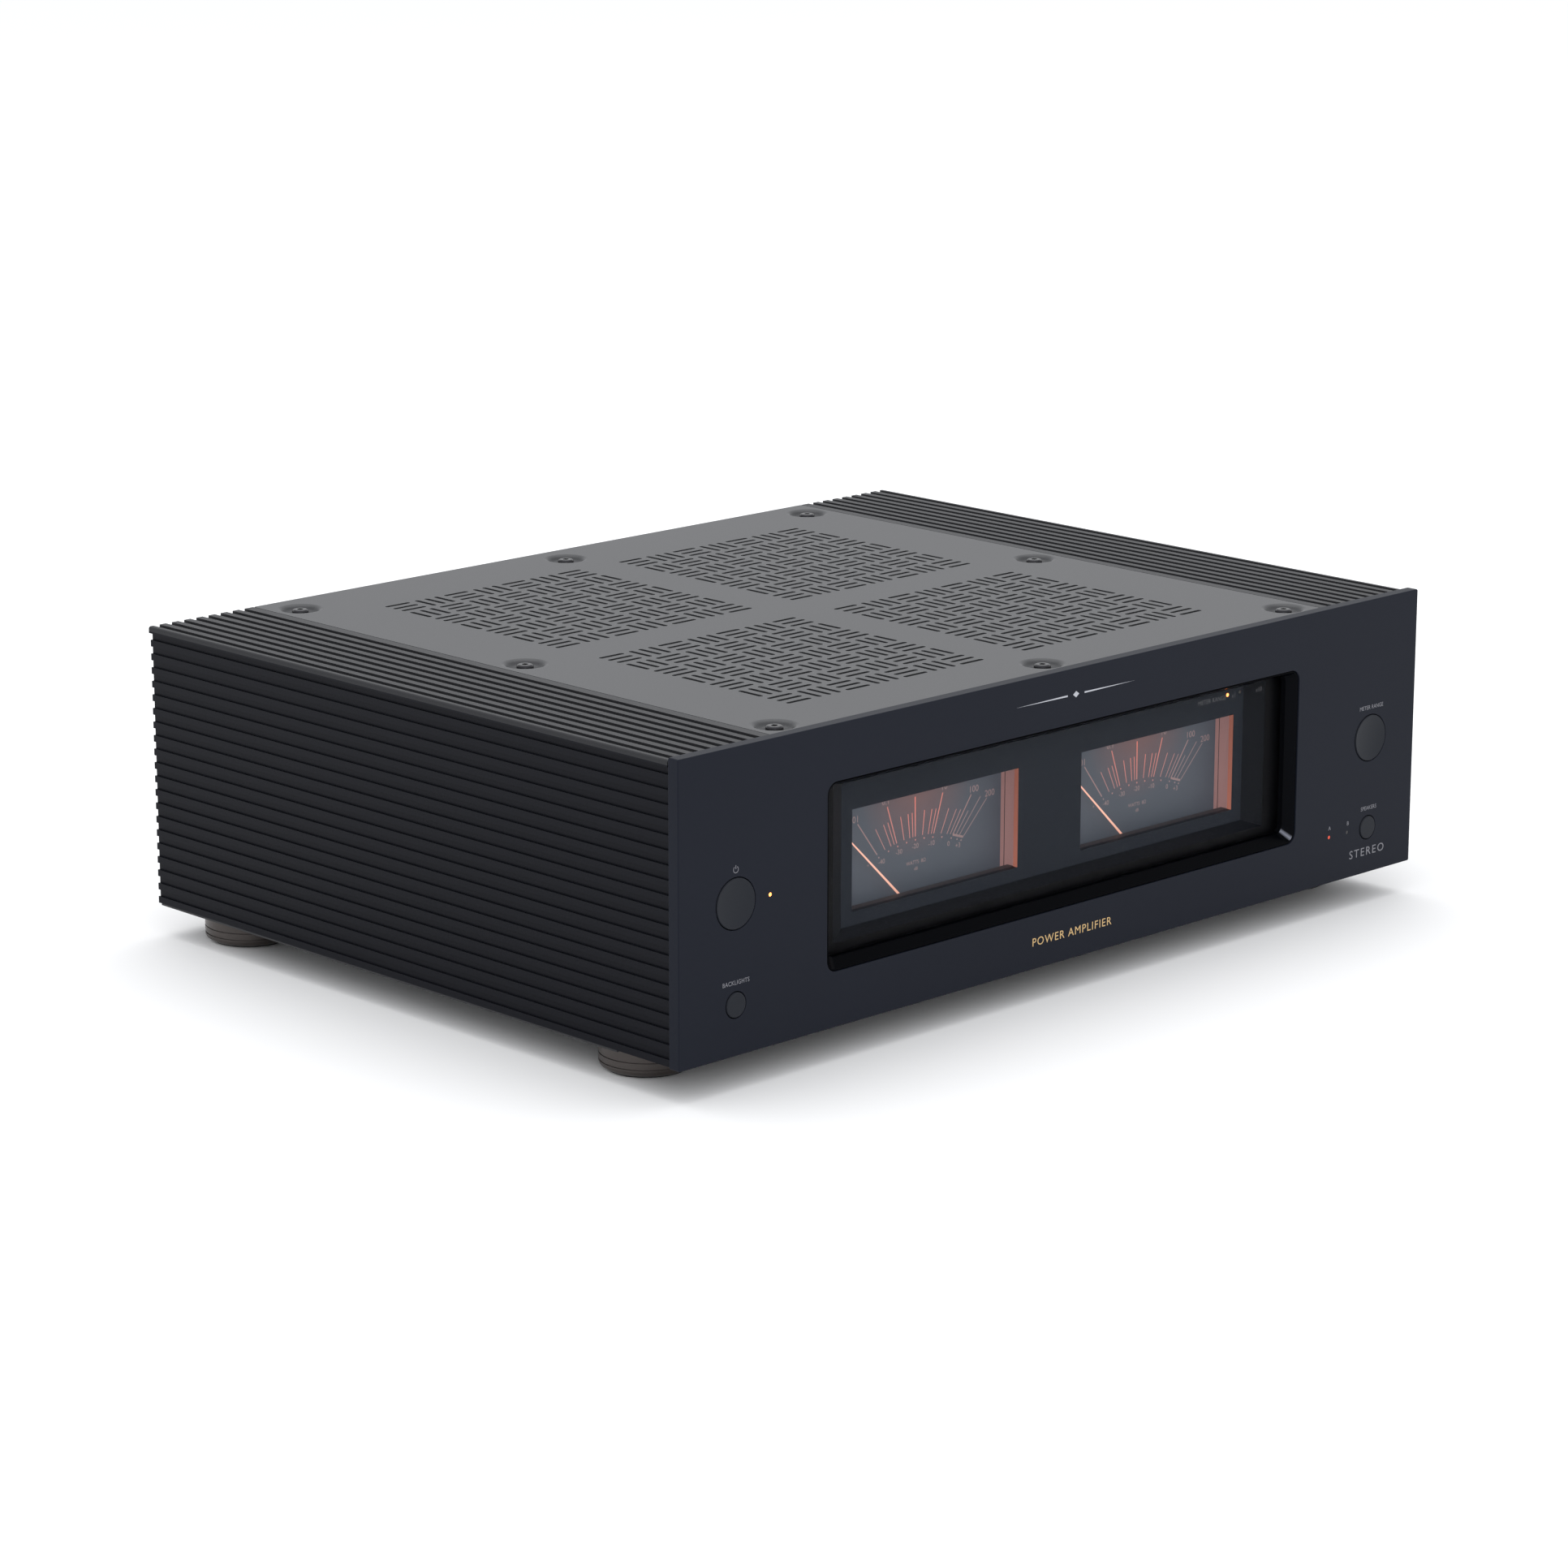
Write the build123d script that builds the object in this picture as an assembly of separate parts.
from build123d import *
import os

# Stereo power amplifier, millimetres. It is drawn in a chassis frame: X to the right as seen from the
# front, Y from the front panel's face to the back, Z up from the front panel's lower edge. save() then
# moves every piece to the part's own frame: the centre of its bounding box, at the height of the floor.

# ---- driving dimensions -------------------------------------------------------------------------
PANEL_W = 435.0
PANEL_H = 120.7
PANEL_T = 5.6
BODY_FRONT = 6.2
FRAME_BACK = 7.6
BODY_BACK = 321.8
BODY_TOP = 119.5
BODY_BOTTOM = 0.4
FLOOR = -13.5
SHEET = 1.5

RIB_FACE_X = 216.3
CORNER_RIB_PROUD = 0.8
RIB_DEPTH = 1.0
SIDE_RIBS = 21
SIDE_RIB_W = 2.8
TOP_GROOVES = 8
TOP_GROOVE_W = 3.1
TOP_GROOVE_PITCH = 6.37
FIRST_GROOVE_X = 211.5
SIDE_WALL_X = 209.5
FLANGE_EDGE_X = 162.4
LIP_EDGE_X = 140.0
DIMPLE_DEPTH = 2.6
DIMPLE_UNDER = BODY_TOP - DIMPLE_DEPTH - SHEET + 0.1
RAIL_T = 3.0

COVER_HALF_W = 162.0
COVER_SCREW_X = 150.0
COVER_SCREW_Y = (18.5, 162.0, 305.5)
VENT_X = 66.8
VENT_Y = (94.4, 228.9)
VENT_BLOCKS = 7
VENT_BLOCK_PITCH = 16.23
SLOT_LENGTH = 13.0
SLOT_W = 2.1
SLOT_PITCH = 5.3

WINDOW_W = 279.0
WINDOW_H = 75.5
WINDOW_Z = 60.15
WINDOW_R = 5.0
GLASS_FRONT = 6.8
GLASS_T = 2.0
CLEAR_HALF_W = 127.9
CLEAR_Z = (30.4, 94.1)
MASK_HALF_W = 118.9
MASK_Z = (33.7, 91.6)
MASK_FRONT = 13.3
MASK_BACK = 15.6

METER_X = 65.85
METER_HALF_W = 47.15
METER_Z = (39.2, 80.4)
METER_WALL_GAP = 2.2
PIVOT_Z = 26.2
SCALE_FRONT = 24.4
NEEDLE_Y = 22.0
NEEDLE_LENGTH = 54.0
NEEDLE_REST_DEG = -45.8
BRACKET_FRONT = 27.0
RANGE_LED_X = (108.9, 116.7)
RANGE_LED_Z = 89.5

BUTTON_X = 188.0
BIG_BUTTON_Z = 60.0
SMALL_BUTTON_Z = 20.3
BIG_BUTTON_R = 10.0
SMALL_BUTTON_R = 5.0
BUTTON_GAP = 0.35
BUTTON_PROUD = 0.3
PANEL_LED_AT = ((-170.0, 60.1), (162.3, 20.5), (174.4, 20.5))
LED_R = 0.75
BOARD_FRONT = 22.0
BOARD_T = 1.6

FOOT_X = 191.0
FOOT_Y = (46.4, 292.4)
FOOT_R = 18.9
BASE_T = 1.2
BASE_FRONT = 37.0
BASE_HALF_W = 215.3

REAR_FRONT = BODY_BACK - SHEET
TERMINAL_X = 62.0
TERMINAL_PITCH = 19.05
TERMINAL_ROWS = (("a", 57.0), ("b", 25.0))
TERMINAL_PLATE_T = 3.0
POST_R = 3.0
CAP_BORE_CLEARANCE = 0.08
CAP_R = 7.2
CAP_BACK = BODY_BACK + 22.0
INLET_AT = (-165.0, 40.0)
RCA_X = 132.0
RCA_Z = (88.0, 68.0)
XLR_X = {"left": 182.0, "right": 148.0}
XLR_Z = 36.0
TRIGGER_AT = (106.0, 86.0)

SINK_BASE_X = (98.0, 104.0)
SINK_FIN_X = 138.0
SINK_Y = (92.0, 288.0)
SINK_Z = (3.0, 104.0)
TRANSFORMER_Y = 122.0
TRANSFORMER_R = 62.0
TRANSFORMER_H = 58.0

FRONT_MOST = -BUTTON_PROUD
ROW_SHIFT = Location((0, -(FRONT_MOST + CAP_BACK) / 2, -FLOOR))


# ---- drawing helpers ----------------------------------------------------------------------------
def block(x0, x1, y0, y1, z0, z1):
    """A box between two corners."""
    middle = Pos((x0 + x1) / 2, (y0 + y1) / 2, (z0 + z1) / 2)
    return middle * Box(x1 - x0, y1 - y0, z1 - z0)


def rod_y(x, z, radius, y0, y1):
    """A cylinder along Y."""
    return Pos(x, (y0 + y1) / 2, z) * Rot(90, 0, 0) * Cylinder(radius, y1 - y0)


def rod_z(x, y, radius, z0, z1):
    """A cylinder along Z."""
    return Pos(x, y, (z0 + z1) / 2) * Cylinder(radius, z1 - z0)


def prism_y(outline, y0, y1):
    """An outline drawn as seen from the front (X, Z), from y0 back to y1."""
    return extrude(Plane.XZ.offset(-y0) * outline, amount=-(y1 - y0))


def slab(half_w, z_span, y0, y1, radius):
    """A rounded rectangular plate facing the front."""
    outline = RectangleRounded(2 * half_w, z_span[1] - z_span[0], radius)
    return prism_y(Pos(0, sum(z_span) / 2) * outline, y0, y1)


def joined(pieces):
    """One solid out of pieces that touch or overlap."""
    solid = pieces[0]
    for piece in pieces[1:]:
        solid = solid + piece
    return solid


def group(pieces):
    """Separate solids that share a node."""
    return Compound(children=[Part(piece.wrapped) for piece in pieces])


def mirrored(shape):
    """The same piece on the other side of the amplifier."""
    return mirror(shape, about=Plane.YZ)


def save(name, shape):
    export_step(shape.moved(ROW_SHIFT), f"parts/{name}.step")


# ---- front panel and window ---------------------------------------------------------------------
def button_places():
    """Name, x, z and face radius of each push button."""
    return (
        ("power_button", -BUTTON_X, BIG_BUTTON_Z, BIG_BUTTON_R),
        ("backlight_button", -BUTTON_X, SMALL_BUTTON_Z, SMALL_BUTTON_R),
        ("range_button", BUTTON_X, BIG_BUTTON_Z, BIG_BUTTON_R),
        ("speaker_button", BUTTON_X, SMALL_BUTTON_Z, SMALL_BUTTON_R),
    )


def front_panel():
    corner_r = 0.8
    edge_r = 0.5
    led_gap = 0.05
    panel = slab(PANEL_W / 2, (0, PANEL_H), 0, PANEL_T, corner_r)
    panel = fillet(panel.edges().filter_by(Plane.XZ), edge_r)
    window_z = (WINDOW_Z - WINDOW_H / 2, WINDOW_Z + WINDOW_H / 2)
    openings = slab(WINDOW_W / 2, window_z, 0, PANEL_T, WINDOW_R)
    for _, x, z, radius in button_places():
        openings = openings + rod_y(x, z, radius + BUTTON_GAP, 0, PANEL_T)
    panel = panel - openings
    rims = panel.edges().filter_by_position(Axis.Y, -0.01, 0.01).filter_by_position(Axis.X, -205, 205)
    rims = rims.filter_by_position(Axis.Z, 5, 115)
    panel = fillet(rims, edge_r / 2)
    for x, z in PANEL_LED_AT:
        panel = panel - rod_y(x, z, LED_R + led_gap, 0, PANEL_T)
    return panel


def window_bezel():
    """Funnel that leads from the panel's opening down to the glass, with a flange behind the panel."""
    gap = 0.4
    front = 0.5
    throat_front = 4.3
    throat_half_w = 135.7
    throat_z = (26.8, 95.4)
    wall_r = WINDOW_R - gap
    half_w = WINDOW_W / 2 - gap
    z_span = (WINDOW_Z - WINDOW_H / 2 + gap, WINDOW_Z + WINDOW_H / 2 - gap)
    body = slab(half_w, z_span, front, PANEL_T, wall_r)
    body = body + slab(half_w + 2.4, (z_span[0] - 2.4, z_span[1] + 2.4), PANEL_T, GLASS_FRONT, wall_r + 2)
    rim = 0.5
    mouth = RectangleRounded(2 * (half_w - rim), z_span[1] - z_span[0] - 2 * rim, wall_r - rim)
    throat = RectangleRounded(2 * throat_half_w, throat_z[1] - throat_z[0], wall_r - 2 * rim)
    mouth_face = Plane.XZ.offset(-front) * Pos(0, sum(z_span) / 2) * mouth
    throat_face = Plane.XZ.offset(-throat_front) * Pos(0, sum(throat_z) / 2) * throat
    funnel = loft([mouth_face.face(), throat_face.face()])
    tunnel = prism_y(Pos(0, sum(throat_z) / 2) * throat, throat_front, GLASS_FRONT)
    return body - funnel - tunnel


def window_glass():
    return slab(141.0, (20.8, 99.2), GLASS_FRONT, GLASS_FRONT + GLASS_T, 3.0)


def meter_mask():
    """Moulded fascia behind the glass: sloping rims, a flat face and two meter windows."""
    back_of_glass = GLASS_FRONT + GLASS_T
    led_gap = 0.05
    body = slab(141.0, (20.8, 99.2), back_of_glass, MASK_BACK, 3.0)
    clear = Rectangle(2 * CLEAR_HALF_W, CLEAR_Z[1] - CLEAR_Z[0])
    inner = Rectangle(2 * MASK_HALF_W, MASK_Z[1] - MASK_Z[0])
    clear_face = Plane.XZ.offset(-back_of_glass) * Pos(0, sum(CLEAR_Z) / 2) * clear
    inner_face = Plane.XZ.offset(-MASK_FRONT) * Pos(0, sum(MASK_Z) / 2) * inner
    body = body - loft([clear_face.face(), inner_face.face()])
    for side in (-1, 1):
        x0 = side * METER_X - METER_HALF_W
        body = body - block(x0, x0 + 2 * METER_HALF_W, MASK_FRONT, MASK_BACK, *METER_Z)
    for x in RANGE_LED_X:
        body = body - rod_y(x, RANGE_LED_Z, LED_R + led_gap, MASK_FRONT, MASK_BACK)
    return body


# ---- push buttons and their boards --------------------------------------------------------------
SWITCH_DEPTH = 6.0
STEM_CLEARANCE = 0.06


def stem_radius(face_radius):
    return 2.0 if face_radius > 6 else 1.5


def push_button(x, z, radius):
    """Cap, retaining flange behind the panel and the stem that reaches the switch."""
    flange_front = PANEL_T + 0.3
    flange_back = flange_front + 1.5
    stem_end = BOARD_FRONT - SWITCH_DEPTH + 2.2
    edge_r = 0.5
    cap = rod_y(x, z, radius, -BUTTON_PROUD, flange_front)
    cap = fillet(cap.edges().sort_by(Axis.Y)[0], edge_r)
    if radius > 6:
        sag = 0.7
        hollow_r = (radius**2 + sag**2) / (2 * sag)
        hollow = Pos(x, -BUTTON_PROUD - hollow_r + sag, z) * Sphere(hollow_r)
        cap = cap - hollow
    flange = rod_y(x, z, radius + 1.6, flange_front, flange_back)
    stem = rod_y(x, z, stem_radius(radius), flange_back, stem_end)
    return joined([cap, flange, stem])


def board_with_switches(x_span, switches):
    """Circuit board on four pillars, with a bored switch body for each button."""
    pillar_r = 2.5
    inset = 5.0
    z_span = (8.0, 78.0)
    switch_half = 5.0
    board = block(*x_span, BOARD_FRONT, BOARD_FRONT + BOARD_T, *z_span)
    for x in (x_span[0] + inset, x_span[1] - inset):
        for z in (z_span[0] + inset - 1, z_span[1] - inset):
            board = board + rod_y(x, z, pillar_r, FRAME_BACK, BOARD_FRONT)
    for _, x, z, radius in switches:
        front = BOARD_FRONT - SWITCH_DEPTH
        body = block(x - switch_half, x + switch_half, front, BOARD_FRONT, z - switch_half, z + switch_half)
        bore = rod_y(x, z, stem_radius(radius) + STEM_CLEARANCE, front, BOARD_FRONT - 1.5)
        board = board + (body - bore)
    return board


def indicator_leds():
    """Light pipes of the panel indicators and the two range indicators behind the glass."""
    lamp_r = 2.0
    pipes = []
    for x, z in PANEL_LED_AT:
        lamp_front = BOARD_FRONT - SWITCH_DEPTH
        pipe = rod_y(x, z, LED_R, 0.1, lamp_front)
        pipes.append(pipe + rod_y(x, z, lamp_r, lamp_front, BOARD_FRONT))
    for x in RANGE_LED_X:
        pipe = rod_y(x, RANGE_LED_Z, LED_R, MASK_FRONT, MASK_BACK)
        pipes.append(pipe + rod_y(x, RANGE_LED_Z, lamp_r, MASK_BACK, MASK_BACK + 4.0))
    return group(pipes)


# ---- meters -------------------------------------------------------------------------------------
HOUSING_WALL = 2.0
HOUSING_HALF_W = METER_HALF_W + METER_WALL_GAP
HOUSING_Z = (PIVOT_Z - 9.0, METER_Z[1] + METER_WALL_GAP)
SHAFT_R = 0.8


def meter_housing(x):
    """Open-fronted light box with a ledge over the needle's hub and a frame around the dial."""
    outer = block(
        x - HOUSING_HALF_W - HOUSING_WALL,
        x + HOUSING_HALF_W + HOUSING_WALL,
        MASK_BACK,
        BRACKET_FRONT,
        HOUSING_Z[0] - HOUSING_WALL,
        HOUSING_Z[1] + HOUSING_WALL,
    )
    dial_back = SCALE_FRONT + 1.0
    frame_front = SCALE_FRONT - 1.8
    frame_in = 0.4
    x0 = x - HOUSING_HALF_W
    x1 = x + HOUSING_HALF_W
    wide = block(x0, x1, MASK_BACK, frame_front, *HOUSING_Z)
    framed = block(
        x0 + frame_in, x1 - frame_in, frame_front, dial_back, HOUSING_Z[0] + frame_in, HOUSING_Z[1] - frame_in
    )
    body = outer - wide - framed
    ledge = block(x0, x1, MASK_BACK, NEEDLE_Y - 1.2, METER_Z[0] - 2.1, METER_Z[0] - 0.6)
    body = body + ledge
    return body - rod_y(x, PIVOT_Z, 3.0, dial_back, BRACKET_FRONT)


def meter_scale(x):
    clearance = 0.6
    z_span = (HOUSING_Z[0] + clearance, HOUSING_Z[1] - clearance)
    half_w = HOUSING_HALF_W - clearance
    plate = block(x - half_w, x + half_w, SCALE_FRONT, SCALE_FRONT + 1.0, *z_span)
    return plate - rod_y(x, PIVOT_Z, 2.0, SCALE_FRONT, SCALE_FRONT + 1.0)


def meter_needle(x):
    """Tapered pointer with its counterweight, hub and shaft, turned to the left-hand stop."""
    thickness = 0.4
    tip_w = 0.5
    root_w = 1.1
    tail = 6.0
    hub_r = 3.2
    shaft_end = BRACKET_FRONT + 8.0
    pointer = make_face(
        Polyline(
            (-root_w / 2, -tail),
            (-root_w / 2, 0),
            (-tip_w / 2, NEEDLE_LENGTH),
            (tip_w / 2, NEEDLE_LENGTH),
            (root_w / 2, 0),
            (root_w / 2, -tail),
            close=True,
        )
    )
    counterweight = Pos(0, -tail + 1) * Circle(2.0)
    blade = prism_y(pointer + counterweight, -thickness / 2, thickness / 2)
    blade = Pos(x, NEEDLE_Y, PIVOT_Z) * Rot(0, NEEDLE_REST_DEG, 0) * blade
    hub = rod_y(x, PIVOT_Z, hub_r, NEEDLE_Y - 0.8, NEEDLE_Y + 0.8)
    shaft = rod_y(x, PIVOT_Z, SHAFT_R, NEEDLE_Y + 0.8, shaft_end)
    return joined([blade, hub, shaft])


def meter_movement(x):
    """Moving-coil movement: a drum through the bracket with a flange behind it and a bored bearing."""
    clearance = 0.05
    drum = rod_y(x, PIVOT_Z, 16.0, BRACKET_FRONT + 0.2, BRACKET_FRONT + 22)
    flange = rod_y(x, PIVOT_Z, 19.0, BRACKET_FRONT + SHEET, BRACKET_FRONT + SHEET + 2)
    return drum + flange - rod_y(x, PIVOT_Z, SHAFT_R + clearance, BRACKET_FRONT, BRACKET_FRONT + 9)


def meter_bracket():
    """Upright plate that carries both meters, with a foot on the front frame's floor."""
    half_w = 126.0
    top = 103.0
    bottom = BODY_BOTTOM + SHEET
    plate = block(-half_w, half_w, BRACKET_FRONT, BRACKET_FRONT + SHEET, bottom, top)
    foot = block(-half_w, half_w, BRACKET_FRONT, BRACKET_FRONT + 16, bottom, bottom + SHEET)
    bracket = plate + foot
    for side in (-1, 1):
        hole = rod_y(side * METER_X, PIVOT_Z, 16.4, BRACKET_FRONT, BRACKET_FRONT + SHEET)
        bracket = bracket - hole
    return bracket


def meter_lamp_board():
    """Strip board above the meters, with three lamp blocks over each light box."""
    board_z = 95.0
    lamp_bottom = HOUSING_Z[1] + HOUSING_WALL
    board = block(-120, 120, BRACKET_FRONT - 8, BRACKET_FRONT, board_z, board_z + BOARD_T)
    for side in (-1, 1):
        for offset in (-32, 0, 32):
            x = side * METER_X + offset
            board = board + block(x - 3, x + 3, BRACKET_FRONT - 7, BRACKET_FRONT - 1, lamp_bottom, board_z)
    return board


# ---- case ---------------------------------------------------------------------------------------
def side_profile():
    """Right-hand extrusion seen from the front: ribbed wall, ribbed flange and the lip under the cover."""
    floor_x = RIB_FACE_X - RIB_DEPTH
    pitch = (BODY_TOP - BODY_BOTTOM - SIDE_RIB_W) / (SIDE_RIBS - 1)
    points = [(SIDE_WALL_X, BODY_BOTTOM)]
    for rib in range(SIDE_RIBS - 1):
        z = BODY_BOTTOM + rib * pitch
        points += [(RIB_FACE_X, z), (RIB_FACE_X, z + SIDE_RIB_W)]
        points += [(floor_x, z + SIDE_RIB_W), (floor_x, z + pitch)]
    corner_x = RIB_FACE_X + CORNER_RIB_PROUD
    corner = (corner_x, BODY_TOP)
    points += [(corner_x, BODY_TOP - SIDE_RIB_W), corner]
    for groove in range(TOP_GROOVES):
        inner = FIRST_GROOVE_X - groove * TOP_GROOVE_PITCH
        outer = inner + TOP_GROOVE_W
        points += [(outer, BODY_TOP), (outer, BODY_TOP - RIB_DEPTH)]
        points += [(inner, BODY_TOP - RIB_DEPTH), (inner, BODY_TOP)]
    under_lip = DIMPLE_UNDER - RAIL_T
    points += [(FLANGE_EDGE_X, BODY_TOP), (FLANGE_EDGE_X, DIMPLE_UNDER), (LIP_EDGE_X, DIMPLE_UNDER)]
    points += [(LIP_EDGE_X, under_lip), (SIDE_WALL_X, under_lip)]
    outline = make_face(Polyline(*points, close=True))
    corner_vertex = outline.vertices().sort_by_distance((corner[0], corner[1], 0))[0]
    return fillet(corner_vertex, 1.1)


def side_panel():
    """Right-hand side panel, tapped for the cover screws."""
    panel = prism_y(side_profile(), BODY_FRONT, BODY_BACK)
    for y in COVER_SCREW_Y:
        panel = panel - rod_z(COVER_SCREW_X, y, 1.6, DIMPLE_UNDER - RAIL_T, DIMPLE_UNDER)
    return panel


def vent_slots(centre_x, centre_y):
    """Basket-weave slots of one vent: three slots a block, turned in every second block."""
    half = (VENT_BLOCKS - 1) / 2
    slot = extrude(SlotOverall(SLOT_LENGTH, SLOT_W), amount=SHEET)
    slots = []
    for column in range(VENT_BLOCKS):
        for row in range(VENT_BLOCKS):
            x = centre_x + (column - half) * VENT_BLOCK_PITCH
            y = centre_y + (row - half) * VENT_BLOCK_PITCH
            for step in (-SLOT_PITCH, 0, SLOT_PITCH):
                if (column + row) % 2:
                    place = Location((x + step, y, BODY_TOP - SHEET), (0, 0, 90))
                else:
                    place = Location((x, y + step, BODY_TOP - SHEET))
                slots.append(slot.moved(place))
    return slots


def cover_screw_places():
    """The three-by-three grid of cover screws, without the middle one."""
    return [
        (x, y)
        for y in COVER_SCREW_Y
        for x in (-COVER_SCREW_X, 0, COVER_SCREW_X)
        if (x, y) != (0, COVER_SCREW_Y[1])
    ]


DIMPLE_BLANK_R = 12.0


def dimple():
    """Round of sheet pressed down in a smooth S around one screw."""
    floor_r = 5.2
    rim_r = 9.8
    under_floor_r = 6.2
    under_rim_r = 10.6
    hole_r = 1.7
    under = DIMPLE_UNDER - BODY_TOP
    middle = ((floor_r + rim_r) / 2, -DIMPLE_DEPTH / 2)
    under_middle = ((under_floor_r + under_rim_r) / 2, (under - SHEET) / 2)
    outline = [
        Line((hole_r, -DIMPLE_DEPTH), (floor_r, -DIMPLE_DEPTH)),
        TangentArc((floor_r, -DIMPLE_DEPTH), middle, tangent=(1, 0)),
        TangentArc((rim_r, 0), middle, tangent=(-1, 0)),
        Line((rim_r, 0), (DIMPLE_BLANK_R, 0)),
        Line((DIMPLE_BLANK_R, 0), (DIMPLE_BLANK_R, -SHEET)),
        Line((DIMPLE_BLANK_R, -SHEET), (under_rim_r, -SHEET)),
        TangentArc((under_rim_r, -SHEET), under_middle, tangent=(-1, 0)),
        TangentArc((under_floor_r, under), under_middle, tangent=(1, 0)),
        Line((under_floor_r, under), (hole_r, under)),
        Line((hole_r, under), (hole_r, -DIMPLE_DEPTH)),
    ]
    return revolve(Plane.XZ * make_face(outline), Axis.Z)


def top_cover():
    """Flat sheet with a dimple at each screw and the vents cut through it."""
    depth = BODY_BACK - BODY_FRONT
    outline = Pos(0, (BODY_BACK + BODY_FRONT) / 2) * RectangleRounded(2 * COVER_HALF_W, depth, 0.8)
    sheet = extrude(Pos(0, 0, BODY_TOP - SHEET) * outline, amount=SHEET)
    places = cover_screw_places()
    cover = sheet.cut(*[rod_z(x, y, DIMPLE_BLANK_R, BODY_TOP - SHEET, BODY_TOP) for x, y in places])
    cover = cover.fuse(*[Pos(x, y, BODY_TOP) * dimple() for x, y in places])
    for centre_x in (-VENT_X, VENT_X):
        for centre_y in VENT_Y:
            cover = cover.cut(*vent_slots(centre_x, centre_y))
    return cover


def pan_head_screw(radius, head_r, head_h, length):
    """Screw standing on Z = 0 under its head, with a hexagon socket."""
    head = fillet(rod_z(0, 0, head_r, 0, head_h).edges().sort_by(Axis.Z)[-1], head_h * 0.45)
    socket = extrude(Pos(0, 0, head_h * 0.4) * RegularPolygon(head_r * 0.4, 6), amount=head_h)
    return head - socket + rod_z(0, 0, radius, -length, 0)


def top_cover_screws():
    screw = pan_head_screw(1.5, 3.5, 2.4, RAIL_T + SHEET)
    floor_z = BODY_TOP - DIMPLE_DEPTH
    return group([Pos(x, y, floor_z) * screw for x, y in cover_screw_places()])


def front_frame():
    """Black plate behind the panel, with a floor flange and a tab for the cover."""
    half_w = SIDE_WALL_X - 0.3
    tab_top = DIMPLE_UNDER
    plate = block(-half_w, half_w, PANEL_T, FRAME_BACK, BODY_BOTTOM, tab_top - RAIL_T - 0.2)
    crown = block(-LIP_EDGE_X + 1, LIP_EDGE_X - 1, PANEL_T, FRAME_BACK, BODY_BOTTOM, 117.6)
    floor = block(-half_w, half_w, FRAME_BACK, 60, BODY_BOTTOM, BODY_BOTTOM + SHEET)
    tab = block(-30, 30, FRAME_BACK, COVER_SCREW_Y[0] + 10, tab_top - RAIL_T, tab_top)
    frame = joined([plate, crown, floor, tab])
    frame = frame - slab(142.2, (19.6, 100.4), PANEL_T, FRAME_BACK, 3.0)
    for _, x, z, radius in button_places():
        frame = frame - rod_y(x, z, radius + 2.6, PANEL_T, FRAME_BACK)
    for x, z in PANEL_LED_AT:
        frame = frame - rod_y(x, z, LED_R + 0.4, PANEL_T, FRAME_BACK)
    for x in (-FOOT_X, FOOT_X):
        frame = frame - rod_z(x, FOOT_Y[0], 5.5, BODY_BOTTOM, BODY_BOTTOM + SHEET)
    return frame - rod_z(0, COVER_SCREW_Y[0], 1.6, tab_top - RAIL_T, tab_top)


def base_plate():
    """Bottom sheet with two rows of slots under the heatsinks and holes for the foot screws."""
    bottom = BODY_BOTTOM - BASE_T
    plate = block(-BASE_HALF_W, BASE_HALF_W, BASE_FRONT, BODY_BACK - 0.6, bottom, BODY_BOTTOM)
    slots = []
    for side in (-1, 1):
        for row in range(16):
            place = Pos(side * 121, 100 + row * 12, (bottom + BODY_BOTTOM) / 2)
            slots.append(place * extrude(SlotOverall(30, 4), amount=BASE_T, both=True))
        for y in FOOT_Y:
            slots.append(rod_z(side * FOOT_X, y, FOOT_SCREW_R + 0.2, bottom, BODY_BOTTOM))
    return plate.cut(*slots)


# ---- feet ---------------------------------------------------------------------------------------
FOOT_SCREW_R = 2.0
PAD_R = 16.0
PAD_HOLE_R = 7.0
PAD_PROUD = 0.7
FOOT_TOP = BODY_BOTTOM - BASE_T
FOOT_BOTTOM = FLOOR + PAD_PROUD
FOOT_POCKET_TOP = FOOT_BOTTOM + 1.0
FOOT_HEAD_SEAT = -6.0


def foot():
    """Turned foot with two ring grooves, a pad recess and a counterbore for its screw."""
    groove = 0.5
    edge_r = 2.6
    body = fillet(rod_z(0, 0, FOOT_R, FOOT_BOTTOM, FOOT_TOP).edges().sort_by(Axis.Z)[0], edge_r)
    for z in (-9.7, -6.9):
        ring = rod_z(0, 0, FOOT_R + 1, z - groove / 2, z + groove / 2)
        ring = ring - rod_z(0, 0, FOOT_R - groove, z - groove / 2, z + groove / 2)
        body = body - ring
    body = body - rod_z(0, 0, PAD_R + 0.05, FOOT_BOTTOM, FOOT_POCKET_TOP)
    body = body - rod_z(0, 0, PAD_HOLE_R - 2, FOOT_POCKET_TOP, FOOT_HEAD_SEAT)
    return body - rod_z(0, 0, FOOT_SCREW_R + 0.2, FOOT_HEAD_SEAT, FOOT_TOP)


def foot_pad():
    return rod_z(0, 0, PAD_R, FLOOR, FOOT_POCKET_TOP) - rod_z(0, 0, PAD_HOLE_R, FLOOR, FOOT_POCKET_TOP)


def foot_screw():
    """Screw from below, with its nut on top of the base plate."""
    head = rod_z(0, 0, 3.8, FOOT_HEAD_SEAT - 3.0, FOOT_HEAD_SEAT)
    socket = extrude(Pos(0, 0, FOOT_HEAD_SEAT - 3.0) * RegularPolygon(1.7, 6), amount=1.6)
    shank = rod_z(0, 0, FOOT_SCREW_R, FOOT_HEAD_SEAT, BODY_BOTTOM + SHEET + 6)
    nut_z = BODY_BOTTOM
    nut = extrude(Pos(0, 0, nut_z) * RegularPolygon(4.0, 6), amount=3.2)
    return joined([head - socket, shank, nut])


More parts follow.
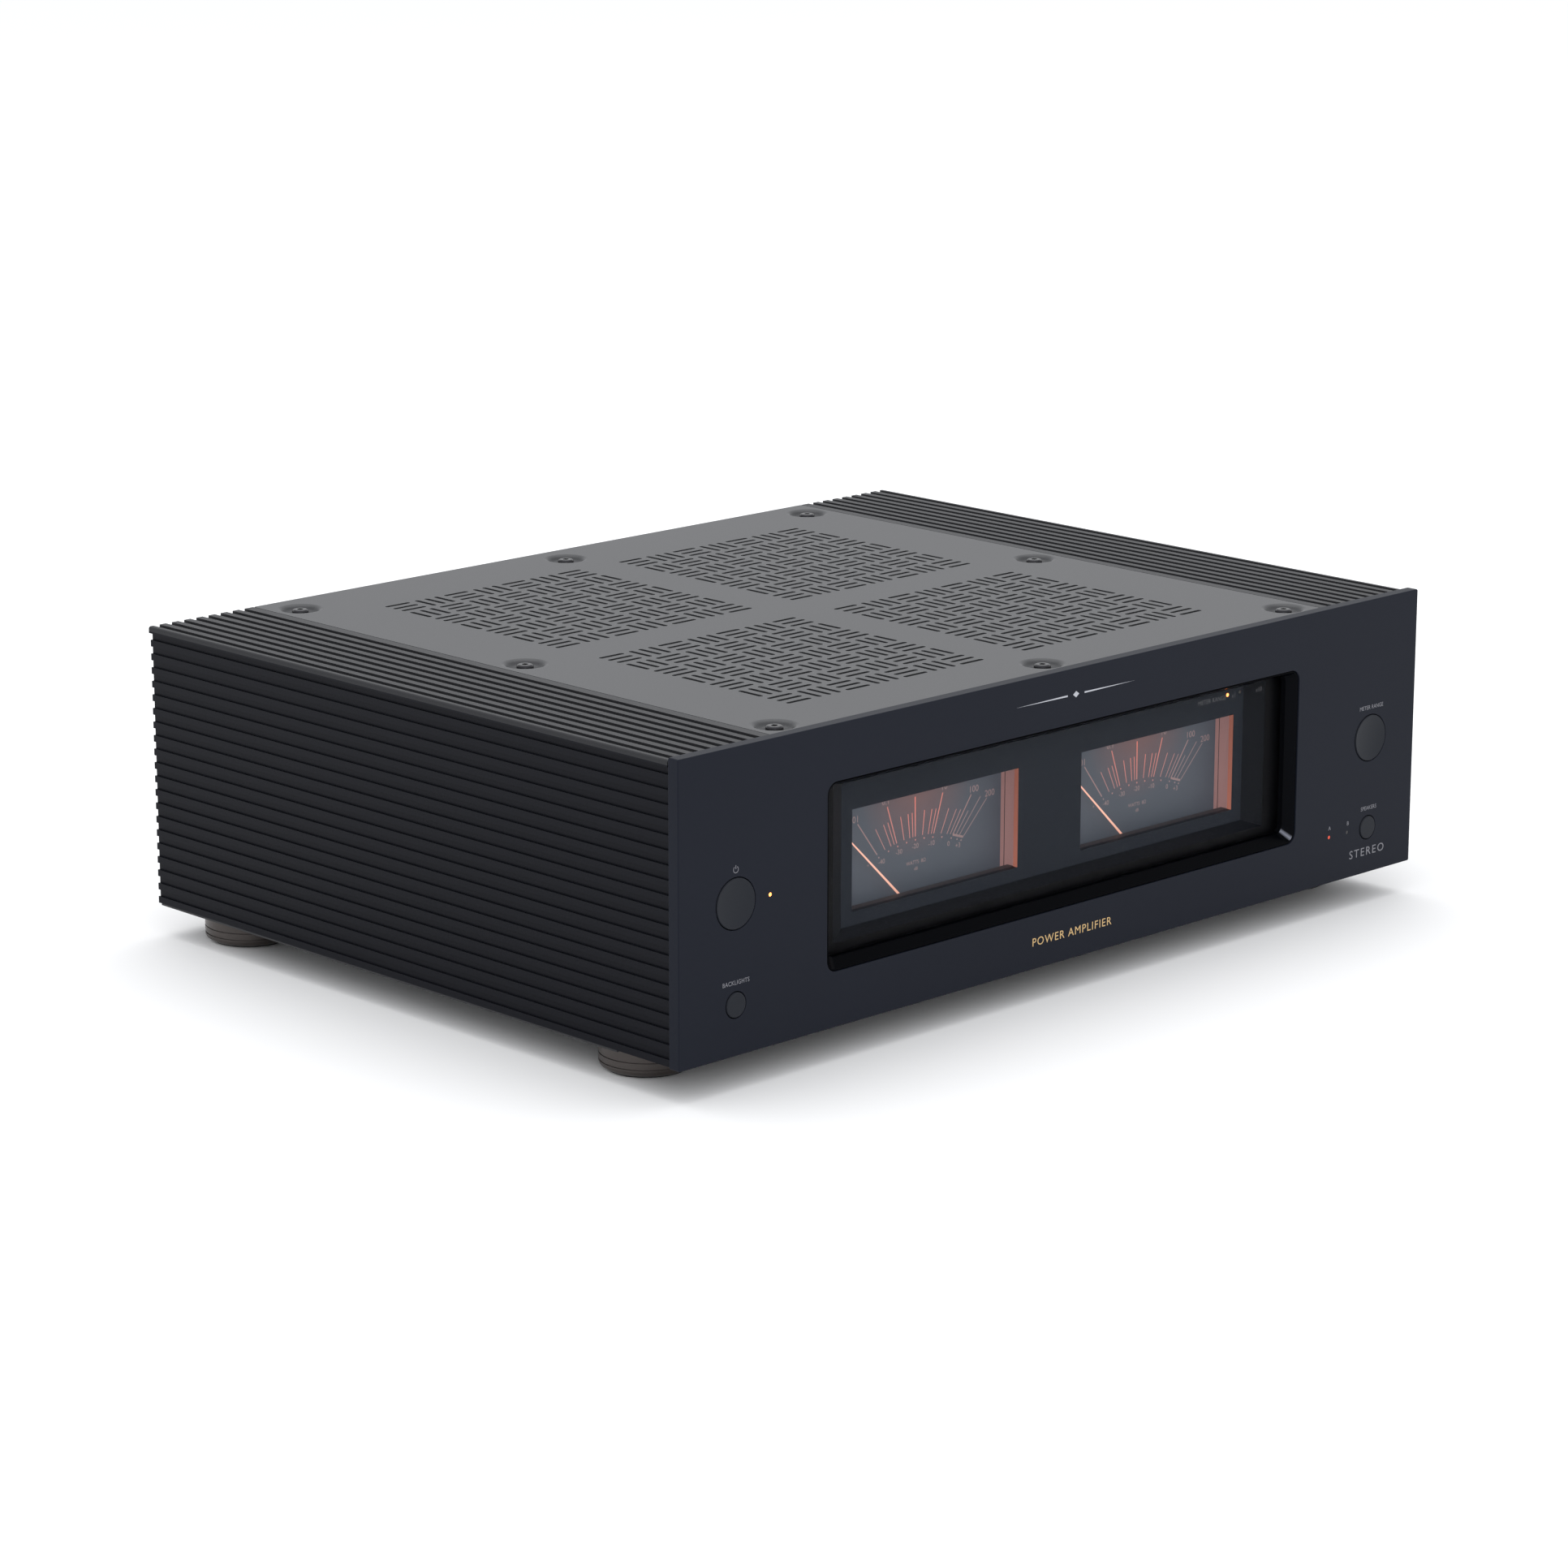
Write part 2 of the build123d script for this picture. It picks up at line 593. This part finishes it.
def foot_places():
    """Name and place of each foot."""
    return [
        (f"foot_{end}_{side}", sign * FOOT_X, y)
        for end, y in zip(("front", "rear"), FOOT_Y)
        for side, sign in (("left", -1), ("right", 1))
    ]


# ---- rear panel and its connectors --------------------------------------------------------------
def rear_screw_places():
    """Screws that hold the rear panel to the chassis and the mains inlet to the rear panel."""
    edge = [(x, z) for x in (-200.0, 200.0) for z in (10.0, 60.0, 105.0)]
    lower = [(x, 6.0) for x in (-100.0, 0.0, 100.0)]
    inlet = [(INLET_AT[0] + side * 20.0, INLET_AT[1]) for side in (-1, 1)]
    return edge + lower + inlet


XLR_BARREL_R = 11.8
RCA_BARREL_R = 4.15
TRIGGER_BARREL_R = 3.9
INLET_BODY = (27.2, 19.6)


def terminal_posts(centre_x):
    """Row name, sign name, x and z of the four posts of one channel."""
    return [
        (row, sign, centre_x + offset, z)
        for row, z in TERMINAL_ROWS
        for sign, offset in (("negative", -TERMINAL_PITCH / 2), ("positive", TERMINAL_PITCH / 2))
    ]


def rear_panel():
    half_w = SIDE_WALL_X - 0.3
    gap = 0.3
    bottom = BODY_BOTTOM
    plate = block(-half_w, half_w, REAR_FRONT, BODY_BACK, bottom, DIMPLE_UNDER - RAIL_T - 0.2)
    tall = block(-130, 130, REAR_FRONT, BODY_BACK, bottom, DIMPLE_UNDER)
    tab_front = COVER_SCREW_Y[2] - 10
    tab = block(-30, 30, tab_front, REAR_FRONT, DIMPLE_UNDER - RAIL_T, DIMPLE_UNDER)
    panel = joined([plate, tall, tab])
    cuts = [rod_z(0, COVER_SCREW_Y[2], 1.6, DIMPLE_UNDER - RAIL_T, DIMPLE_UNDER)]
    inlet_w, inlet_h = (size / 2 + gap for size in INLET_BODY)
    x, z = INLET_AT
    cuts.append(block(x - inlet_w, x + inlet_w, REAR_FRONT, BODY_BACK, z - inlet_h, z + inlet_h))
    for x in XLR_X.values():
        cuts.append(rod_y(x, XLR_Z, XLR_BARREL_R + gap, REAR_FRONT, BODY_BACK))
    for z in RCA_Z:
        cuts.append(rod_y(RCA_X, z, RCA_BARREL_R + gap, REAR_FRONT, BODY_BACK))
    cuts.append(rod_y(*TRIGGER_AT, TRIGGER_BARREL_R + gap, REAR_FRONT, BODY_BACK))
    for side in (-1, 1):
        for _, _, x, z in terminal_posts(side * TERMINAL_X):
            cuts.append(rod_y(x, z, POST_R + 1.0, REAR_FRONT, BODY_BACK))
    for x, z in rear_screw_places():
        cuts.append(rod_y(x, z, 1.7, REAR_FRONT, BODY_BACK))
    return panel.cut(*cuts)


def chassis_screws():
    """Pan-head screws of the rear panel and of the mains inlet."""
    screw = Rot(-90, 0, 0) * pan_head_screw(1.5, 2.9, 2.0, 7.0)
    seats = []
    for x, z in rear_screw_places():
        on_inlet = z == INLET_AT[1]
        seats.append(Pos(x, BODY_BACK + (INLET_FLANGE_T if on_inlet else 0), z) * screw)
    return group(seats)


INLET_FLANGE_T = 2.6


def mains_inlet():
    """Three-pin appliance inlet: flange, body, open socket and blades."""
    x, z = INLET_AT
    half_w, half_h = INLET_BODY[0] / 2, INLET_BODY[1] / 2
    face = BODY_BACK + INLET_FLANGE_T
    flange_outline = Pos(x, z) * RectangleRounded(50.0, 22.8, 8.0)
    flange = prism_y(flange_outline, BODY_BACK, face)
    for side in (-1, 1):
        flange = flange - rod_y(x + side * 20.0, z, 1.7, BODY_BACK, face)
    body = block(x - half_w, x + half_w, BODY_BACK - 22, BODY_BACK, z - half_h, z + half_h)
    socket_outline = Pos(x, z) * RectangleRounded(24.2, 16.4, 3.0)
    socket_floor = face - 16
    inlet = flange + body - prism_y(socket_outline, socket_floor, face)
    blade_back = face - 6.2
    for offset, lift in ((-7.0, -2.0), (7.0, -2.0), (0.0, 2.0)):
        blade = block(x + offset - 1, x + offset + 1, socket_floor, blade_back, z + lift - 2, z + lift + 2)
        inlet = inlet + blade
    return inlet


def rca_inputs():
    """Two phono sockets on one back plate."""
    plate_back = BODY_BACK + 1.5
    plate_z = (RCA_Z[1] - 9.0, RCA_Z[0] + 9.0)
    socket = block(RCA_X - 8.0, RCA_X + 8.0, BODY_BACK, plate_back, *plate_z)
    for z in RCA_Z:
        hexagon = Pos(RCA_X, z) * RegularPolygon(6.0, 6)
        socket = socket + prism_y(hexagon, plate_back, plate_back + 2.0)
        socket = socket + rod_y(RCA_X, z, RCA_BARREL_R, BODY_BACK - 10, BODY_BACK + 11.5)
        moat = rod_y(RCA_X, z, 3.5, BODY_BACK + 2.5, BODY_BACK + 11.5)
        moat = moat - rod_y(RCA_X, z, 2.3, BODY_BACK + 2.5, BODY_BACK + 11.5)
        socket = socket - moat - rod_y(RCA_X, z, 1.6, BODY_BACK + 1.5, BODY_BACK + 11.5)
    return socket


XLR_FLANGE_T = 2.0
LATCH_HALF_W = 3.4
LATCH_Z = (XLR_Z + 12.4, XLR_Z + 14.8)
LATCH_TRAVEL = 1.2
LATCH_GAP = 0.3


def xlr_input(x):
    """Balanced input socket: flange, barrel, ring for the plug's shell, three contacts and a latch slot."""
    face = BODY_BACK + XLR_FLANGE_T
    flange = prism_y(Pos(x, XLR_Z + 0.8) * RectangleRounded(26.0, 32.6, 3.0), BODY_BACK, face)
    for side in (-1, 1):
        flange = flange - rod_y(x + side * 9.5, XLR_Z + side * 12.0, 1.6, BODY_BACK, face)
    barrel = rod_y(x, XLR_Z, XLR_BARREL_R, BODY_BACK - 20, face)
    ring = rod_y(x, XLR_Z, 9.7, face - 15, face) - rod_y(x, XLR_Z, 7.3, face - 15, face)
    body = flange + barrel - ring
    for dx, dz in ((-3.6, 1.5), (3.6, 1.5), (0.0, -3.4)):
        body = body - rod_y(x + dx, XLR_Z + dz, 1.3, face - 13, face)
    slot = block(
        x - LATCH_HALF_W - LATCH_GAP,
        x + LATCH_HALF_W + LATCH_GAP,
        BODY_BACK,
        face,
        LATCH_Z[0] - LATCH_TRAVEL - LATCH_GAP,
        LATCH_Z[1] + LATCH_GAP,
    )
    return body - slot


def xlr_latch(x):
    """Push tab that releases the plug, in its slot above the socket."""
    face = BODY_BACK + XLR_FLANGE_T
    tab = block(x - LATCH_HALF_W, x + LATCH_HALF_W, BODY_BACK + LATCH_GAP, face + 1.6, *LATCH_Z)
    return chamfer(tab.edges().filter_by(Axis.X).sort_by(Axis.Y)[-1], 0.8)


def trigger_jack():
    x, z = TRIGGER_AT
    nut = prism_y(Pos(x, z) * RegularPolygon(5.6, 6), BODY_BACK, BODY_BACK + 2.0)
    barrel = rod_y(x, z, TRIGGER_BARREL_R, BODY_BACK - 14, BODY_BACK + 3.5)
    return nut + barrel - rod_y(x, z, 1.8, BODY_BACK - 11, BODY_BACK + 3.5)


def terminal_stud(x, z):
    """Threaded stud, drawn plain, with its 4 mm bore and the nut behind the rear panel."""
    bore_r = 2.05
    end = CAP_BACK - 1.0
    stud = rod_y(x, z, POST_R, BODY_BACK - 12, end) - rod_y(x, z, bore_r, end - 14, end)
    nut = prism_y(Pos(x, z) * RegularPolygon(6.0, 6), REAR_FRONT - 4, REAR_FRONT)
    return stud + nut


def speaker_terminals(centre_x):
    """Insulating plate of one channel and its four studs."""
    half_w = 22.0
    margin = 13.0
    clearance = 0.06
    z_span = (TERMINAL_ROWS[1][1] - margin, TERMINAL_ROWS[0][1] + margin)
    outline = RectangleRounded(2 * half_w, z_span[1] - z_span[0], 3.0)
    face = BODY_BACK + TERMINAL_PLATE_T
    plate = prism_y(Pos(centre_x, sum(z_span) / 2) * outline, BODY_BACK, face)
    studs = []
    for _, _, x, z in terminal_posts(centre_x):
        plate = plate + rod_y(x, z, CAP_R - 0.6, face, face + 2.0)
        plate = plate - rod_y(x, z, POST_R + clearance, BODY_BACK, face + 2.0)
        studs.append(terminal_stud(x, z))
    return group([plate] + studs)


def terminal_cap(x, z):
    """Fluted clamping cap that runs on its stud."""
    front = BODY_BACK + TERMINAL_PLATE_T + 2.3
    flutes = 12
    flute_r = 0.9
    cap = rod_y(x, z, CAP_R, front, CAP_BACK)
    cap = fillet(cap.edges().sort_by(Axis.Y)[-1], 0.8)
    cuts = [rod_y(x, z, POST_R + CAP_BORE_CLEARANCE, front, CAP_BACK)]
    for angle in range(0, 360, 360 // flutes):
        spoke = Pos(x, 0, z) * Rot(0, angle, 0) * Pos(CAP_R + 0.3, 0, 0)
        cuts.append(spoke * rod_y(0, 0, flute_r, front + 3.5, CAP_BACK))
    return cap.cut(*cuts)


# ---- power supply and amplifier modules ---------------------------------------------------------
def transformer():
    """Potted toroidal transformer with rounded shoulders."""
    hole_r = 20.0
    core = rod_z(0, TRANSFORMER_Y, TRANSFORMER_R, BODY_BOTTOM, BODY_BOTTOM + TRANSFORMER_H)
    core = core - rod_z(0, TRANSFORMER_Y, hole_r, BODY_BOTTOM, BODY_BOTTOM + TRANSFORMER_H)
    return fillet(core.edges().filter_by(GeomType.CIRCLE), 8.0)


def transformer_clamp():
    """Dished washer and bolt through the transformer's middle."""
    top = BODY_BOTTOM + TRANSFORMER_H
    washer = rod_z(0, TRANSFORMER_Y, 34.0, top, top + 2.5)
    bolt = rod_z(0, TRANSFORMER_Y, 4.0, BODY_BOTTOM, top + 6.0)
    nut = extrude(Pos(0, TRANSFORMER_Y, top + 2.5) * RegularPolygon(7.0, 6), amount=6.0)
    return joined([washer, bolt, nut])


SUPPLY_BOARD_Z = 12.0
SUPPLY_BOARD_Y = (196.0, 292.0)
CAPACITOR_R = 17.5


def power_supply_board():
    """Supply board on pillars with the bridge rectifier and four fuse holders."""
    y0, y1 = SUPPLY_BOARD_Y
    top = SUPPLY_BOARD_Z + BOARD_T
    board = block(-72, 72, y0, y1, SUPPLY_BOARD_Z, top)
    for x in (-66, 66):
        for y in (y0 + 6, y1 - 6):
            board = board + rod_z(x, y, 3.0, BODY_BOTTOM, SUPPLY_BOARD_Z)
    board = board + block(-14, 14, y0 + 4, y0 + 10, top, top + 24)
    for x in (-62, 62):
        for y in (y0 + 20, y0 + 44):
            board = board + block(x - 4, x + 4, y, y + 22, top, top + 9)
    return board


def filter_capacitors():
    """Four upright reservoir capacitors."""
    bottom = SUPPLY_BOARD_Z + BOARD_T
    cans = []
    for x in (-27, 27):
        for y in (SUPPLY_BOARD_Y[0] + 34, SUPPLY_BOARD_Y[0] + 74):
            can = rod_z(x, y, CAPACITOR_R, bottom, bottom + 52)
            cans.append(fillet(can.edges().sort_by(Axis.Z)[-1], 2.0))
    return group(cans)


TRANSISTOR_COUNT = 6


def transistor_places():
    """Y of each output transistor on a heatsink."""
    first = SINK_Y[0] + 24
    pitch = (SINK_Y[1] - SINK_Y[0] - 48) / (TRANSISTOR_COUNT - 1)
    return [first + pitch * index for index in range(TRANSISTOR_COUNT)]


def heatsink():
    """Right-hand heatsink: flat spreader with upright fins towards the side of the case."""
    fins = 22
    fin_t = 2.0
    y0, y1 = SINK_Y
    pitch = (y1 - y0 - fin_t) / (fins - 1)
    points = [(SINK_BASE_X[0], y0), (SINK_BASE_X[0], y1)]
    for fin in range(fins - 1, -1, -1):
        y = y0 + fin * pitch
        points += [(SINK_FIN_X, y + fin_t), (SINK_FIN_X, y)]
        if fin:
            points += [(SINK_BASE_X[1], y), (SINK_BASE_X[1], y - pitch + fin_t)]
    outline = make_face(Polyline(*points, close=True))
    return extrude(Pos(0, 0, SINK_Z[0]) * outline, amount=SINK_Z[1] - SINK_Z[0])


def heatsink_with_feet():
    foot_block = block(SINK_BASE_X[0], SINK_BASE_X[1], SINK_Y[0], SINK_Y[1], BODY_BOTTOM, SINK_Z[0])
    return heatsink() + foot_block


AMP_BOARD_X = 84.0
TRANSISTOR_T = 5.0
TRANSISTOR_Z = (40.0, 60.0)


def output_transistors():
    """Twelve transistors on the heatsinks' inner faces, with leads to the amplifier boards."""
    devices = []
    inner = SINK_BASE_X[0] - TRANSISTOR_T
    lead_z = TRANSISTOR_Z[0] - 4.0
    for y in transistor_places():
        body = block(inner, SINK_BASE_X[0], y - 8, y + 8, *TRANSISTOR_Z)
        for offset in (-5.4, 0, 5.4):
            y0, y1 = y + offset - 0.6, y + offset + 0.6
            drop = block(inner + 1.5, inner + 2.5, y0, y1, lead_z, TRANSISTOR_Z[0])
            reach = block(AMP_BOARD_X + BOARD_T, inner + 2.5, y0, y1, lead_z, lead_z + 1.0)
            body = body + drop + reach
        devices += [body, mirrored(body)]
    return group(devices)


def amp_boards():
    """Two upright amplifier boards on the heatsinks' pillars, each with a relay and small capacitors."""
    y0, y1 = SINK_Y
    pillar_w = 6.0
    back = AMP_BOARD_X + BOARD_T
    board = block(AMP_BOARD_X, back, y0 + 6, y1 - 6, 6, 92)
    for y in (y0 + 8, y1 - 14):
        for z in (10, 78):
            board = board + block(back, SINK_BASE_X[0], y, y + pillar_w, z, z + pillar_w)
    for y in range(int(y0) + 120, int(y1) - 20, 24):
        board = board + block(AMP_BOARD_X - 9, AMP_BOARD_X, y, y + 8, 70, 86)
    board = board + block(AMP_BOARD_X - 11, AMP_BOARD_X, y1 - 40, y1 - 12, 24, 46)
    return group([board, mirrored(board)])


def input_board():
    """Board behind the input sockets, on brackets, with its buffer circuits."""
    y = BODY_BACK - 26
    board = block(96, 206, y, y + BOARD_T, 12, 100)
    for z in (20, 84):
        board = board + block(200, SIDE_WALL_X, y + BOARD_T, y + BOARD_T + 3, z, z + 10)
    for x in (134, 152, 170):
        board = board + block(x, x + 10, y - 4, y, 60, 72)
    return board


# ---- all pieces ---------------------------------------------------------------------------------
def save_feet():
    pads = []
    screws = []
    for name, x, y in foot_places():
        save(name, Pos(x, y, 0) * foot())
        pads.append(Pos(x, y, 0) * foot_pad())
        screws.append(Pos(x, y, 0) * foot_screw())
    save("foot_pads", group(pads))
    save("foot_screws", group(screws))


def save_meters():
    for side, x in (("left", -METER_X), ("right", METER_X)):
        save(f"meter_housing_{side}", meter_housing(x))
        save(f"meter_scale_{side}", meter_scale(x))
        save(f"meter_needle_{side}", meter_needle(x))
    save("meter_movements", group([meter_movement(-METER_X), meter_movement(METER_X)]))
    save("meter_bracket", meter_bracket())
    save("meter_lamp_board", meter_lamp_board())


def save_terminals():
    for side, sign in (("left", -1), ("right", 1)):
        centre_x = sign * TERMINAL_X
        save(f"speaker_terminals_{side}", speaker_terminals(centre_x))
        for row, polarity, x, z in terminal_posts(centre_x):
            save(f"cap_{row}_{side}_{polarity}", terminal_cap(x, z))


def main():
    os.makedirs("parts", exist_ok=True)
    save("front_panel", front_panel())
    save("window_bezel", window_bezel())
    save("window_glass", window_glass())
    save("meter_mask", meter_mask())
    for name, x, z, radius in button_places():
        save(name, push_button(x, z, radius))
    save("left_switch_board", board_with_switches((-204.0, -163.0), button_places()[:2]))
    save("right_switch_board", board_with_switches((156.0, 204.0), button_places()[2:]))
    save("indicator_leds", indicator_leds())
    save_meters()
    save("right_side_panel", side_panel())
    save("left_side_panel", mirrored(side_panel()))
    save("top_cover", top_cover())
    save("top_cover_screws", top_cover_screws())
    save("front_frame", front_frame())
    save("base_plate", base_plate())
    save_feet()
    save("rear_panel", rear_panel())
    save("chassis_screws", chassis_screws())
    save("mains_inlet", mains_inlet())
    save("rca_inputs", rca_inputs())
    for side, x in XLR_X.items():
        save(f"xlr_input_{side}", xlr_input(x))
        save(f"xlr_latch_{side}", xlr_latch(x))
    save("trigger_jack", trigger_jack())
    save_terminals()
    save("transformer", transformer())
    save("transformer_clamp", transformer_clamp())
    save("power_supply_board", power_supply_board())
    save("filter_capacitors", filter_capacitors())
    save("heatsink_right", heatsink_with_feet())
    save("heatsink_left", mirrored(heatsink_with_feet()))
    save("output_transistors", output_transistors())
    save("amp_boards", amp_boards())
    save("input_board", input_board())


main()
